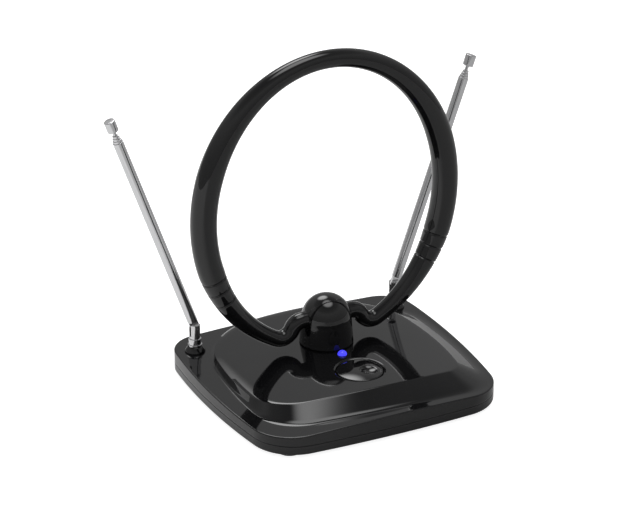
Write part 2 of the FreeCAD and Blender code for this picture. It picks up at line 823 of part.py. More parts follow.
def ellipse_station(turn_text):
    return (
        "loop_half_width * sin(%s)" % turn_text,
        "loop_height + loop_half_height * cos(%s)" % turn_text,
        "90 + atan2(loop_half_height * sin(%s); loop_half_width * cos(%s)) / 1 deg" % (turn_text, turn_text))


def tube_radius(turn_text):
    if number(turn_text) <= number("taper_start_turn"):
        swell = "min(sin(%s) / sin(taper_start_turn); 1)" % turn_text
        return "loop_top_radius + (loop_side_radius - loop_top_radius) * %s^2" % swell
    part = "min((%s - taper_start_turn) / (taper_end_turn - taper_start_turn); 1)" % turn_text
    return "loop_side_radius - (loop_side_radius - arm_radius) * (1 - (1 - %s)^taper_bend_factor)" % part


stations = []
for step in range(ellipse_steps + 1):
    turn_text = "(arm_start_turn * %d / %d)" % (step, ellipse_steps)
    stations.append(ellipse_station(turn_text) + (tube_radius(turn_text),))
for step in range(1, dip_steps + 1):
    heading = "(%s + (arm_rise_angle - (%s)) * %d / %d)" % (dip_heading, dip_heading, step, dip_steps)
    stations.append((
        "%s - arm_dip_radius * sin(%s)" % (dip_x, heading),
        "%s - arm_dip_radius * cos(%s)" % (dip_z, heading),
        "270 + %s" % heading, "arm_radius"))
for step in range(1, rise_steps + 1):
    heading = "(arm_rise_angle * (%d - %d) / %d)" % (rise_steps, step, rise_steps)
    stations.append((
        "%s + %s * sin(%s)" % (rise_x, rise_radius, heading),
        "pivot_height - %s * (1 - cos(%s))" % (rise_radius, heading),
        "270 + %s" % heading, "arm_radius"))


def lean(item, angle):
    item.Placement = FreeCAD.Placement(FreeCAD.Vector(), FreeCAD.Rotation(backwards, number(angle)))
    item.setExpression("Placement.Rotation.Angle", expand(angle))
    return item


def loop_half(name, thickness):
    circles = []
    for index, (x, z, angle, radius) in enumerate(stations):
        circle = lean(doc.addObject("Part::Circle", "%s_%d" % (name, index)), angle)
        circle.setExpression("Radius", expand(thickness or radius))
        circles.append(move(circle, x, "post_y", z))
    straight = drum(
        name + "_straight", thickness or "arm_radius", "%s - pivot_end" % rise_x,
        "pivot_end", "post_y", "pivot_height", sideways)
    return fuse(name, [loft(name + "_bend", circles, False), straight])


def both_sides(name, half):
    mirrored = doc.addObject("Part::Mirroring", name + "_mirrored")
    mirrored.Source = half
    mirrored.Base = FreeCAD.Vector()
    mirrored.Normal = sideways
    return fuse(name, [half, mirrored])


grooves = []
for place in ("first", "second", "third"):
    turn_text = "groove_%s_turn" % place
    x, z, angle = ellipse_station(turn_text)
    groove = lean(doc.addObject("Part::Torus", "groove_" + place), angle)
    groove.setExpression("Radius1", expand(tube_radius(turn_text) + " + groove_lift"))
    groove.setExpression("Radius2", expand("groove_radius"))
    grooves.append(move(groove, x, "post_y", z))
arm_flange = drum(
    "arm_flange", "pivot_flange_radius", "pivot_flange_end - pivot_end",
    "pivot_end", "post_y", "pivot_height", sideways)
tube_half = fuse("tube_half", [loop_half("tube_form", ""), arm_flange])
tube_cuts = fuse("tube_cuts", [loop_half("wire_channel", "wire_radius + free_gap")] + grooves)
node("loop_tube", both_sides("loop", cut("tube_cut", tube_half, tube_cuts)))
node("loop_wire", both_sides("wire", loop_half("wire_form", "wire_radius")))

# rods: collar on the base, swivelling fork, rivet, tongue, four tubes, tip rod and cap
radii = {1: "tube_1_radius"}
starts = {1: "tube_base", 2: "plug_top + tube_rest"}
tops = {1: "tube_1_top"}
for index in (2, 3, 4):
    radii[index] = "%s - tube_wall - running_gap" % radii[index - 1]
    tops[index] = "%s + tube_reveal" % tops[index - 1]
for index in (3, 4, 5):
    starts[index] = "%s + tube_rest" % starts[index - 1]
bores = {index: "%s - tube_wall" % radius for index, radius in radii.items()}
tip_start = starts[5]
cap_start = "%s + tip_reveal" % tops[4]


def tube_profile(index):
    radius, start, top = radii[index], starts[index], tops[index]
    corners = [
        (bores[index], start),
        (radius, start),
        (radius, "%s - tube_bevel" % top),
        ("%s - tube_bevel" % radius, top)]
    if index == len(radii):
        corners.append(("tip_radius + running_gap", top))
        corners.append(("tip_radius + running_gap", "%s - mouth_height" % top))
        corners.append((bores[index], "%s - mouth_height" % top))
    else:
        corners.append((bores[index], top))
    return corners


for side, sign in (("left", "-"), ("right", "")):
    knuckle_x = sign + rod_x
    collar = turned("collar_" + side, [
        ("stem_radius + running_gap", "rim_height"),
        ("collar_foot_radius", "rim_height"),
        ("collar_foot_radius", "rim_height + collar_lip"),
        ("collar_top_radius", "collar_top"),
        ("stem_radius + running_gap", "collar_top")])
    node("rod_collar_" + side, move(collar, knuckle_x, rod_y, "0"))

    swivel = turned("swivel_" + side, [
        ("0", "stem_base"),
        ("stem_radius", "stem_base"),
        ("stem_radius", "swivel_flange_base"),
        ("swivel_flange_radius", "swivel_flange_base"),
        ("swivel_flange_radius", "swivel_flange_top"),
        ("swivel_drum_radius", "swivel_flange_top"),
        ("swivel_drum_radius", "swivel_drum_top"),
        ("fork_radius", "swivel_drum_top"),
        ("fork_radius", "rod_pivot_height + fork_over_pivot - fork_bevel"),
        ("fork_radius - fork_bevel", "rod_pivot_height + fork_over_pivot"),
        ("0", "rod_pivot_height + fork_over_pivot")])
    slot = sketch_on(swivel, "slot_" + side, "YZ_Plane")
    slot_half = "tongue_thickness * 0.5 + free_gap"
    slot_top = "rod_pivot_height + fork_over_pivot + over_cut"
    polygon(slot, [
        ("-(%s)" % slot_half, "fork_slot_base"),
        (slot_half, "fork_slot_base"),
        (slot_half, slot_top),
        ("-(%s)" % slot_half, slot_top)])
    through(swivel, "slot_cut_" + side, slot)
    eye = sketch_on(swivel, "fork_eye_" + side, "XZ_Plane")
    ring(eye, "rivet_radius + running_gap", "0", "rod_pivot_height")
    through(swivel, "fork_eye_cut_" + side, eye)
    turn_bore = swivel.newObject("PartDesign::Groove", "stem_bore_" + side)
    bore_sketch = sketch_on(swivel, "stem_bore_profile_" + side, "XZ_Plane")
    polygon(bore_sketch, [
        ("0", "stem_base"),
        ("stem_screw_radius + running_gap", "stem_base"),
        ("stem_screw_radius + running_gap", "stem_base + stem_screw_length + free_gap"),
        ("0", "stem_base + stem_screw_length + free_gap")])
    turn_bore.Profile = bore_sketch
    turn_bore.ReferenceAxis = (bore_sketch, ["V_Axis"])
    turn_bore.Angle = 360
    swivel.Tip = turn_bore
    node("swivel_base_" + side, move(swivel, knuckle_x, rod_y, "0"))

    stem_screw = turned("stem_screw_" + side, [
        ("0", "stem_base - stem_screw_head_height"),
        ("stem_screw_head_radius", "stem_base - stem_screw_head_height"),
        ("stem_screw_head_radius", "stem_base"),
        ("stem_screw_radius", "stem_base"),
        ("stem_screw_radius", "stem_base + stem_screw_length"),
        ("0", "stem_base + stem_screw_length")])
    node("swivel_screw_" + side, move(stem_screw, knuckle_x, rod_y, "0"))
    node("knuckle_rivet_" + side, drum(
        "rivet_" + side, "rivet_radius", "rivet_half_length * 2",
        knuckle_x, "%s - rivet_half_length" % rod_y, "rod_pivot_height", backwards))

    def lean_rod(item):
        lean(item, sign + "rod_lean_angle")
        return move(item, knuckle_x, rod_y, "rod_pivot_height")

    tongue = doc.addObject("PartDesign::Body", "tongue_" + side)
    leaf = sketch_on(tongue, "leaf_" + side, "XZ_Plane")
    half = number("tongue_half_width")
    top = number("tube_base")
    arc = Part.ArcOfCircle(Part.Circle(FreeCAD.Vector(), upright, half), math.pi, 2 * math.pi)
    leaf.addGeometry(arc, False)
    leaf.addGeometry(Part.LineSegment(FreeCAD.Vector(half, 0, 0), FreeCAD.Vector(half, top, 0)), False)
    leaf.addGeometry(Part.LineSegment(FreeCAD.Vector(half, top, 0), FreeCAD.Vector(-half, top, 0)), False)
    leaf.addGeometry(Part.LineSegment(FreeCAD.Vector(-half, top, 0), FreeCAD.Vector(-half, 0, 0)), False)
    leaf.addConstraint(Sketcher.Constraint("Tangent", 0, 2, 1, 1))
    leaf.addConstraint(Sketcher.Constraint("Coincident", 1, 2, 2, 1))
    leaf.addConstraint(Sketcher.Constraint("Coincident", 2, 2, 3, 1))
    leaf.addConstraint(Sketcher.Constraint("Tangent", 3, 2, 0, 1))
    leaf.addConstraint(Sketcher.Constraint("Coincident", 0, 3, -1, 1))
    pin(leaf, 2, 1, "tongue_half_width", "tube_base")
    pin(leaf, 3, 1, "-tongue_half_width", "tube_base")
    ring(leaf, "rivet_radius + running_gap", "0", "0")
    pad = tongue.newObject("PartDesign::Pad", "leaf_pad_" + side)
    pad.Profile = leaf
    pad.Midplane = True
    pad.setExpression("Length", expand("tongue_thickness"))
    tongue.Tip = pad
    turn(tongue, "plug_" + side, [
        ("0", "tube_base - tube_bevel"),
        ("%s - running_gap" % bores[1], "tube_base - tube_bevel"),
        ("%s - running_gap" % bores[1], "plug_top"),
        ("0", "plug_top")])
    node("rod_tongue_" + side, lean_rod(tongue))

    for index in (1, 2, 3, 4):
        tube = turned("tube_%d_%s" % (index, side), tube_profile(index))
        node("rod_tube_%d_%s" % (index, side), lean_rod(tube))
    tip = turned("tip_" + side, [
        ("0", tip_start),
        ("%s - running_gap" % bores[4], tip_start),
        ("%s - running_gap" % bores[4], "%s + tip_bush" % tip_start),
        ("tip_radius", "%s + tip_bush" % tip_start),
        ("tip_radius", "%s + cap_socket_depth - free_gap" % cap_start),
        ("0", "%s + cap_socket_depth - free_gap" % cap_start)])
    node("rod_tip_" + side, lean_rod(tip))
    cap = turned("cap_" + side, [
        ("tip_radius + running_gap", cap_start),
        ("cap_radius - cap_foot_bevel", cap_start),
        ("cap_radius", "%s + cap_foot_bevel" % cap_start),
        ("cap_radius", "%s + cap_length - cap_bevel" % cap_start),
        ("cap_radius - cap_bevel", "%s + cap_length" % cap_start),
        ("0", "%s + cap_length" % cap_start),
        ("0", "%s + cap_socket_depth" % cap_start),
        ("tip_radius + running_gap", "%s + cap_socket_depth" % cap_start)])
    node("tip_cap_" + side, lean_rod(cap))

doc.recompute()
for item in doc.Objects:
    if "Invalid" in item.State or "Error" in item.State:
        raise RuntimeError("%s is not built: %s" % (item.Label, item.State))
os.makedirs("parts", exist_ok=True)
for name, item in nodes.items():
    if item.Shape.isNull() or not item.Shape.isValid():
        raise RuntimeError("%s has no valid shape" % name)
    item.Shape.exportStep("parts/%s.step" % name)
    box = item.Shape.BoundBox
    print("%s  volume %.1f  solids %d  z %.2f to %.2f" % (
        name, item.Shape.Volume, len(item.Shape.Solids), box.ZMin, box.ZMax))
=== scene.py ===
import json
import math

import bmesh
import bpy
import numpy as np
from mathutils import Matrix, Vector


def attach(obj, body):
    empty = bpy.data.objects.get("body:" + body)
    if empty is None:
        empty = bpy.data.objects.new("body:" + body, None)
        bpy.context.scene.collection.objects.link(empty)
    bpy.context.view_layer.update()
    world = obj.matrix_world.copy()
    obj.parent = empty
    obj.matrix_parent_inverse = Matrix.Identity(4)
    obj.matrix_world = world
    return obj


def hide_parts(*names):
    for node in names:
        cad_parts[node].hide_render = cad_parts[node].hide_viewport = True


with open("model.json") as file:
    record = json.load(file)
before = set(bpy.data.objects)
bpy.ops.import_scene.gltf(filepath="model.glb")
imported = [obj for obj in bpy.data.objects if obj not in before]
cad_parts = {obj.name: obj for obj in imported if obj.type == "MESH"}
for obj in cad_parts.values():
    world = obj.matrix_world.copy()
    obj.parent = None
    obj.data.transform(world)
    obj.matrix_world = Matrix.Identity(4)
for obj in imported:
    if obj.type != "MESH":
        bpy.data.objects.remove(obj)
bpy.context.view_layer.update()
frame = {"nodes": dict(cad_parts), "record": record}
nodes = frame["nodes"]
mm = 0.001
fullTurn = 2 * math.pi
quarterTurn = 0.5 * math.pi
bothSides = (("left", -1), ("right", 1))
print("frame loaded:", len(nodes), "nodes")

# camera at the photograph's angle
cameraValues = {
    "place": (-0.7899, -1.5386, 0.8901),
    "turn": (65.294, 0.0, -26.833),  # degrees
    "lens": 163.9, "sensor": 36.0, "nearest": 0.05, "farthest": 50.0,
}


def makeCamera(values):
    data = bpy.data.cameras.new("photoCamera")
    data.lens = values["lens"]
    data.sensor_width = values["sensor"]
    data.sensor_fit = "HORIZONTAL"
    data.clip_start = values["nearest"]
    data.clip_end = values["farthest"]
    camera = bpy.data.objects.new("photoCamera", data)
    camera.location = values["place"]
    camera.rotation_euler = [math.radians(angle) for angle in values["turn"]]
    bpy.context.scene.collection.objects.link(camera)
    bpy.context.scene.camera = camera


makeCamera(cameraValues)

# mesh helpers: lengths are in millimetres, and the values' angles in degrees
axisGap = 0.004  # keeps turned faces from shrinking to nothing on the axis


def smoothShading(mesh, sharpAngle):
    mesh.polygons.foreach_set("use_smooth", [True] * len(mesh.polygons))
    mesh.set_sharp_from_angle(angle=math.radians(sharpAngle))


def meshPiece(name, points, faces, body, sharpAngle, replaced=(), place=None):
    mesh = bpy.data.meshes.new(name)
    mesh.from_pydata([tuple(float(value) * mm for value in point) for point in points], [], faces)
    smoothShading(mesh, sharpAngle)
    piece = bpy.data.objects.new(name, mesh)
    bpy.context.scene.collection.objects.link(piece)
    if place is not None:
        piece.matrix_world = place
    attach(piece, body)
    if replaced:
        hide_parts(*replaced)
    return piece


def skinRings(rings, closeFirst=False, closeLast=False):
    count = len(rings[0])
    points = [tuple(point) for ring in rings for point in ring]
    faces = []
    for level in range(len(rings) - 1):
        lower = level * count
        upper = lower + count
        for index in range(count):
            following = (index + 1) % count
            faces.append((lower + index, lower + following, upper + following, upper + index))
    for wanted, level in ((closeFirst, 0), (closeLast, len(rings) - 1)):
        if not wanted:
            continue
        middle = len(points)
        points.append(tuple(np.mean(np.array(rings[level]), axis=0)))
        start = level * count
        for index in range(count):
            pair = (start + index, start + (index + 1) % count)
            faces.append((pair[1], pair[0], middle) if level == 0 else (*pair, middle))
    return points, faces


def softProfile(corners, steps=6):
    # corners are (radius, height, rounding); the rounding is the length taken off each side
    path = []
    for index, (radius, height, rounding) in enumerate(corners):
        spot = Vector((radius, height))
        if rounding <= 0 or index in (0, len(corners) - 1):
            path.append(spot)
            continue
        before = (Vector(corners[index - 1][:2]) - spot).normalized() * rounding
        after = (Vector(corners[index + 1][:2]) - spot).normalized() * rounding
        for step in range(steps + 1):
            t = step / steps
            path.append(spot + before * (1 - t) ** 2 + after * t ** 2)
    return path


def evenAngles(count):
    return np.linspace(0, fullTurn, count, endpoint=False)


def circleSpots(radius, angles):
    return [(radius * math.cos(a), radius * math.sin(a)) for a in angles]


def lathe(corners, around, closeLast=False):
    angles = evenAngles(around)
    rings = []
    for spot in softProfile(corners):
        rings.append([(x, y, spot.y) for x, y in circleSpots(max(spot.x, axisGap), angles)])
    return skinRings(rings, closeLast=closeLast)


def between(low, high, share):
    return low + (high - low) * share


def smoothMax(first, second, width):
    gap = max(width - abs(first - second), 0.0) / width
    return max(first, second) + gap * gap * width * 0.25


def smoothMin(first, second, width):
    return -smoothMax(-first, -second, width)


# base: outlines of four corner arcs between four bowed sides
baseValues = {
    "halfWidth": 91.5, "front": 83.7, "back": 83.7, "sideBow": 480.0, "bowY": 10.5,
    "frontBow": 900.0, "backBow": 900.0, "frontCorner": 31.0, "backCorner": 22.5,
    "seam": 8.8, "rim": 17.3, "rimRound": 0.9, "seamBevel": 0.35, "seamDepth": 1.3,
    "dip": 2.3, "dipWidth": 70.0, "dipLift": 0.2, "dipEnd": 55.0, "dipRun": 137.0,
    "wallFrom": 0.15, "wallTo": 0.97, "wallRings": 5, "roundSteps": 8,
    "rimRings": 14, "slopeRings": 48, "crownRings": 26, "sharpAngle": 50.0,
}
slopeFootValues = {
    "halfWidth": 77.8, "rightWidth": 84.5, "front": 75.4, "frontX": 30.0, "back": 78.0,
    "sideBow": 330.0, "rightBow": 450.0, "bowY": -22.0, "rightBowY": -2.0,
    "frontBow": 500.0, "backBow": 580.0,
    "frontCorner": 34.0, "rightCorner": 27.0, "backCorner": 60.0,
}
plateauEdgeValues = {
    "halfWidth": 75.6, "rightWidth": 69.8, "front": 62.0, "frontX": 8.0, "back": 68.0,
    "sideBow": 260.0, "rightBow": 210.0, "bowY": -8.0, "rightBowY": -5.0,
    "frontBow": 300.0, "backBow": 580.0,
    "frontCorner": 34.0, "rightCorner": 15.0, "backCorner": 44.0,
}
plateauValues = {
    "crownRadius": 540.0, "crownTop": 28.1, "fallFrom": 66.0, "fall": 0.007,
    "edgeBlend": 0.35, "backEdgeBlend": 3.2, "frontBlend": 1.6, "sideBlend": 2.4,
}
wellValues = {
    "y": -34.8, "radius": 16.0, "bevelWidth": 1.2, "bevelDepth": 0.6, "lip": 0.35,
    "wallDepth": 2.5, "floor": 22.4,
}


def cornerMiddle(corner, side, end):
    away = Vector((end[0] - side[0], end[1] - side[1]))
    near, far = side[2] - corner, end[2] - corner
    along = (near ** 2 - far ** 2 + away.length_squared) / (2 * away.length)
    off = math.sqrt(near ** 2 - along ** 2)
    unit = away.normalized()
    across = Vector((-unit.y, unit.x))
    spots = [Vector(side[:2]) + unit * along + across * reach for reach in (off, -off)]
    return max(spots, key=lambda spot: (spot.x - side[0]) * away.x - (spot.y - end[1]) * away.y)


def outline(values, inset=0.0, arcSteps=40):
    # a side or corner without a value of its own takes that of its opposite
    leftBow = values["sideBow"]
    rightBow = values.get("rightBow", leftBow)
    rightX = values.get("rightWidth", values["halfWidth"]) - rightBow
    longArcs = [
        (values.get("frontX", 0.0), values["frontBow"] - values["front"], values["frontBow"]),
        (rightX, values.get("rightBowY", values["bowY"]), rightBow),
        (0.0, values["back"] - values["backBow"], values["backBow"]),
        (leftBow - values["halfWidth"], values["bowY"], leftBow)]
    backCorner, frontCorner = values["backCorner"], values["frontCorner"]
    corners = [values.get("rightCorner", frontCorner), backCorner, backCorner, frontCorner]
    circles = []
    for index, corner in enumerate(corners):
        near, far = longArcs[index], longArcs[(index + 1) % len(longArcs)]
        side, end = (far, near) if index % 2 == 0 else (near, far)
        circles += [near, (*cornerMiddle(corner, side, end), corner)]
    points = []
    for index, (x, y, radius) in enumerate(circles):
        ends = []
        for other in (circles[index - 1], circles[(index + 1) % len(circles)]):
            sign = 1 if other[2] < radius else -1
            ends.append(math.atan2(sign * (other[1] - y), sign * (other[0] - x)))
        span = (ends[1] - ends[0]) % fullTurn
        for step in range(arcSteps):
            a = ends[0] + span * step / arcSteps
            points.append((x + (radius - inset) * math.cos(a), y + (radius - inset) * math.sin(a)))
    return np.array(points)


def castOutward(inner, outer, slack=1e-9):
    # from each point of the inner line straight out to the outer line
    heading = np.roll(inner, -1, axis=0) - np.roll(inner, 1, axis=0)
    away = np.column_stack([heading[:, 1], -heading[:, 0]])
    away /= np.linalg.norm(away, axis=1)[:, None]
    side = np.roll(outer, -1, axis=0) - outer
    reached = []
    for spot, ray in zip(inner, away):
        across = ray[0] * side[:, 1] - ray[1] * side[:, 0]
        gap = outer - spot
        reach = (gap[:, 0] * side[:, 1] - gap[:, 1] * side[:, 0]) / across
        share = (gap[:, 0] * ray[1] - gap[:, 1] * ray[0]) / across
        met = reach[(share >= -slack) & (share <= 1 + slack) & (reach > 0)]
        reached.append(spot + ray * met.min())
    return np.array(reached)


def rimHeight(values, x, y):
    # the rim falls a little towards the front corners
    share = min(max((values["dipEnd"] - y) / values["dipRun"], 0.0), 1.0)
    lean = (x / values["dipWidth"]) ** 2 - values["dipLift"]
    return values["rim"] - values["dip"] * lean * share


def levelRing(values, inset, height):
    flat = outline(values, inset)
    return np.column_stack([flat, np.full(len(flat), height)])


def wallRing(values, inset, part, drop):
    # part 0 lies on the seam and part 1 at the rim
    flat = outline(values, inset)
    heights = [between(values["seam"], rimHeight(values, x, y) - drop, part) for x, y in flat]
    return np.column_stack([flat, heights])


def crownHeight(values, x):
    # a shallow arch whose left edge rolls off a little
    fall = values["fall"] * max(-x - values["fallFrom"], 0.0) ** 2
    radius = values["crownRadius"]
    return values["crownTop"] - radius + math.sqrt(radius ** 2 - x * x) - fall


def evenShares(count):
    return np.linspace(0.0, 1.0, count + 1)[1:]


def makeTopCover(base, footLine, edgeLine, plateau, well):
    rings = [
        levelRing(base, base["seamDepth"], base["seam"] + base["seamBevel"] * 0.5),
        levelRing(base, base["seamBevel"], base["seam"]),
        levelRing(base, 0.0, base["seam"] + base["seamBevel"]),
    ]
    for part in np.linspace(base["wallFrom"], base["wallTo"], base["wallRings"]):
        rings.append(wallRing(base, 0.0, part, base["rimRound"]))
    for step in range(base["roundSteps"] + 1):
        a = quarterTurn * step / base["roundSteps"]
        inset = base["rimRound"] * (1 - math.cos(a))
        rings.append(wallRing(base, inset, 1.0, base["rimRound"] * (1 - math.sin(a))))
    rimEdge = outline(base, base["rimRound"])
    head = outline(edgeLine)
    foot = castOutward(head, outline(footLine))
    toDial = head - np.array([0.0, well["y"]])
    angles = np.arctan2(toDial[:, 1], toDial[:, 0])

    def aroundDial(radius):
        return np.column_stack([radius * np.cos(angles), well["y"] + radius * np.sin(angles)])

    def surface(flat):
        ring = []
        for spot, footSpot, headSpot in zip(flat, foot, head):
            slope = headSpot - footSpot
            run = float(np.dot(slope, slope))
            along = float(np.dot(spot - footSpot, slope)) / run
            low = rimHeight(base, *footSpot)
            high = crownHeight(plateau, headSpot[0])
            sideways = slope[0] ** 2 / run
            blend = between(plateau["frontBlend"], plateau["sideBlend"], sideways)
            climb = smoothMax(rimHeight(base, *spot), between(low, high, along), blend)
            backward = min(slope[1], 0.0) ** 2 / run
            edge = between(plateau["edgeBlend"], plateau["backEdgeBlend"], backward)
            ring.append((*spot, smoothMin(climb, crownHeight(plateau, spot[0]), edge)))
        return np.array(ring)

    lipRadius = well["radius"] + well["bevelWidth"] + well["lip"]
    hole = aroundDial(lipRadius)
    for outer, inner, count in (
            (rimEdge, foot, base["rimRings"]), (foot, head, base["slopeRings"]),
            (head, hole, base["crownRings"])):
        for part in evenShares(count):
            rings.append(surface(between(outer, inner, part)))
    lipHeights = rings[-1][:, 2]
    profile = softProfile([
        (lipRadius, 0.0, 0), (lipRadius - well["lip"], 0.0, well["lip"]),
        (well["radius"], -well["bevelDepth"], well["lip"]),
        (well["radius"], -well["wallDepth"], 0)])
    for spot in profile[1:]:
        rings.append(np.column_stack([aroundDial(spot.x), lipHeights + spot.y]))
    wall = aroundDial(well["radius"])
    rings.append(np.column_stack([wall, np.full(len(wall), well["floor"])]))
    points, faces = skinRings(rings, closeLast=True)
    return meshPiece(
        "topCover", points, faces, "base", base["sharpAngle"], ["base_top_cover"])


topCover = makeTopCover(
    baseValues, slopeFootValues, plateauEdgeValues, plateauValues, wellValues)
print("base cover made")

# feet: low round pads under the corners
footValues = {
    "x": 66.6, "frontY": -66.0, "rearY": 61.7, "radius": 8.6, "height": 2.5, "round": 0.5,
    "around": 72, "sharpAngle": 45.0,
}


def makeFoot(values, end, side, sign):
    name = "foot_%s_%s" % (end, side)
    place = Matrix.Translation((sign * values["x"] * mm, values[end + "Y"] * mm, 0))
    radius, height = values["radius"], values["height"]
    points, faces = lathe([
        (0, 0, 0), (radius, 0, values["round"]), (radius, height, 0), (0, height, 0)],
        values["around"])
    return meshPiece(
        name, points, faces, "base", values["sharpAngle"], [name], place)


feet = [makeFoot(footValues, end, *side) for end in ("front", "rear") for side in bothSides]
print("feet made")

# post: drum and dome turned as one, then split into its front cover and rear shell
postValues = {
    "y": 13.5, "base": 28.4, "baseRadius": 18.2, "domeRadius": 16.8, "dome": 45.4,
    "underside": 2.4, "bevel": 0.5, "bevelRound": 0.3,
    "drumFrom": 0.1, "drumTo": 0.98, "drumRings": 12, "domeSteps": 32, "around": 160,
    "split": 7.0, "seam": 0.16, "seamDepth": 1.2, "cutSlack": 0.0001,
    "neckRadius": 17.0, "neckDepth": 2.5, "neckRise": 0.2, "neckAround": 96, "sharpAngle": 50.0,
}


def postProfile(values):
    base, dome = values["base"], values["dome"]
    baseRadius, domeRadius = values["baseRadius"], values["domeRadius"]
    corners = [
        (baseRadius - values["underside"], base, 0),
        (baseRadius - values["bevel"], base, 0),
        (baseRadius, base + values["bevel"], values["bevelRound"])]
    for part in np.linspace(values["drumFrom"], values["drumTo"], values["drumRings"]):
        corners.append((between(baseRadius, domeRadius, part), between(base, dome, part), 0))
    for step in range(1, values["domeSteps"] + 1):
        a = quarterTurn * step / values["domeSteps"]
        corners.append((domeRadius * math.cos(a), dome + domeRadius * math.sin(a), 0))
    return corners


def splitPost(name, values, side, replaced):
    points, faces = lathe(postProfile(values), values["around"], closeLast=True)
    build = bmesh.new()
    for x, y, z in points:
        build.verts.new((x, y + values["y"], z))
    build.verts.ensure_lookup_table()
    for face in faces:
        build.faces.new([build.verts[index] for index in face])
    cutY = values["y"] - values["split"] - (values["seam"] if side < 0 else 0.0)
    cutting = bmesh.ops.bisect_plane(
        build, geom=build.verts[:] + build.edges[:] + build.faces[:], dist=values["cutSlack"],
        plane_co=(0, cutY, 0), plane_no=(0, side, 0), clear_inner=True)
    rim = [item for item in cutting["geom_cut"] if isinstance(item, bmesh.types.BMEdge)]
    grown = bmesh.ops.extrude_edge_only(build, edges=rim)
    for vert in grown["geom"]:
        if isinstance(vert, bmesh.types.BMVert):
            inward = Vector((vert.co.x, 0, max(vert.co.z - values["dome"], 0)))
            if inward.length > 0:
                vert.co -= inward.normalized() * values["seamDepth"]
    build.verts.index_update()
    madePoints = [tuple(vert.co) for vert in build.verts]
    madeFaces = [tuple(vert.index for vert in face.verts) for face in build.faces]
    build.free()
    return meshPiece(
        name, madePoints, madeFaces, "base", values["sharpAngle"], replaced)


def makeNeck(values):
    points, faces = lathe([
        (values["neckRadius"], values["base"] - values["neckDepth"], 0),
        (values["neckRadius"], values["base"] + values["neckRise"], 0)],
        values["neckAround"], closeLast=True)
    points = [(x, y + values["y"], z) for x, y, z in points]
    return meshPiece("postNeck", points, faces, "base", values["sharpAngle"])


postFront = splitPost("postFront", postValues, -1, ["post_front_cover"])
postRear = splitPost("postRear", postValues, 1, ["post_rear_shell"])
postNeck = makeNeck(postValues)
print("post made")

# loop: a tube of changing radius along an ellipse that runs into two dipping arms
loopValues = {
    "y": 13.5, "halfWidth": 88.24, "halfHeight": 99.89, "height": 128.2,
    "topRadius": 6.08, "sideRadius": 8.72, "armRadius": 5.6,
    "armStart": 154.5, "taperStart": 110.0, "taperEnd": 152.0, "taperBend": 1.25,
    "dipRadius": 9.0, "riseAngle": 65.0, "pivot": 47.0, "pivotEnd": 9.0,
    "grooves": (112.1, 117.3, 123.0), "grooveWidth": 0.75, "grooveDepth": 0.55,
    "grooveBend": 94.0, "grooveFade": 2.2, "grooveSpan": 0.9, "grooveSteps": 15,
    "ovalSteps": 150, "dipSteps": 18, "riseSteps": 14, "around": 64, "sharpAngle": 60.0,
}


def loopRadius(values, turn):
    taperStart, sideRadius = values["taperStart"], values["sideRadius"]
    if turn <= taperStart:
        swell = min(math.sin(math.radians(turn)) / math.sin(math.radians(taperStart)), 1.0) ** 2
        radius = between(values["topRadius"], sideRadius, swell)
    else:
        part = min((turn - taperStart) / (values["taperEnd"] - taperStart), 1.0)
        blend = 1 - (1 - part) ** values["taperBend"]
        radius = sideRadius - (sideRadius - values["armRadius"]) * blend
    for groove in values["grooves"]:
        away = math.radians(turn - groove) * values["grooveBend"] / values["grooveWidth"]
        radius -= values["grooveDepth"] * math.exp(-away * away * values["grooveFade"])
    return radius


def loopPath(values):
    # (x, z, heading, radius) along one half, from the top to the end of the arm
    a, b = values["halfWidth"], values["halfHeight"]
    arm, pivot, dip = values["armRadius"], values["pivot"], values["dipRadius"]
    turns = set(np.linspace(0.0, values["armStart"], values["ovalSteps"]))
    span = values["grooveSpan"]
    for groove in values["grooves"]:
        turns.update(np.linspace(groove - span, groove + span, values["grooveSteps"]))
    stations = []
    for turn in sorted(turns):
        t = math.radians(turn)
        heading = math.atan2(-b * math.sin(t), a * math.cos(t))
        stations.append((
            a * math.sin(t), values["height"] + b * math.cos(t), heading, loopRadius(values, turn)))
    t = math.radians(values["armStart"])
    startHeading = -math.atan2(b * math.sin(t), -a * math.cos(t))
    rise = math.radians(values["riseAngle"])
    dipX = a * math.sin(t) + dip * math.sin(startHeading)
    dipZ = values["height"] + b * math.cos(t) + dip * math.cos(startHeading)
    for step in range(1, values["dipSteps"] + 1):
        heading = startHeading + (rise - startHeading) * step / values["dipSteps"]
        stations.append((
            dipX - dip * math.sin(heading), dipZ - dip * math.cos(heading), math.pi - heading, arm))
    riseRadius = (pivot - dipZ + dip * math.cos(rise)) / (1 - math.cos(rise))
    riseX = dipX - (dip + riseRadius) * math.sin(rise)
    for step in range(1, values["riseSteps"] + 1):
        heading = rise * (1 - step / values["riseSteps"])
        stations.append((
            riseX + riseRadius * math.sin(heading), pivot - riseRadius * (1 - math.cos(heading)),
            math.pi - heading, arm))
    stations.append((values["pivotEnd"], pivot, math.pi, arm))
    return stations


def makeLoop(values):
    half = loopPath(values)
    angles = evenAngles(values["around"])
    whole = [(-x, z, -heading, radius) for x, z, heading, radius in reversed(half)] + half[1:]
    rings = []
    for x, z, heading, radius in whole:
        outX, outZ = -math.sin(heading), math.cos(heading)
        rings.append([(
            x + outX * radius * math.cos(a), values["y"] + radius * math.sin(a),
            z + outZ * radius * math.cos(a)) for a in angles])
    points, faces = skinRings(rings, True, True)
    return meshPiece(
        "loopTube", points, faces, "loop", values["sharpAngle"], ["loop_tube"])


loopTube = makeLoop(loopValues)
print("loop made")

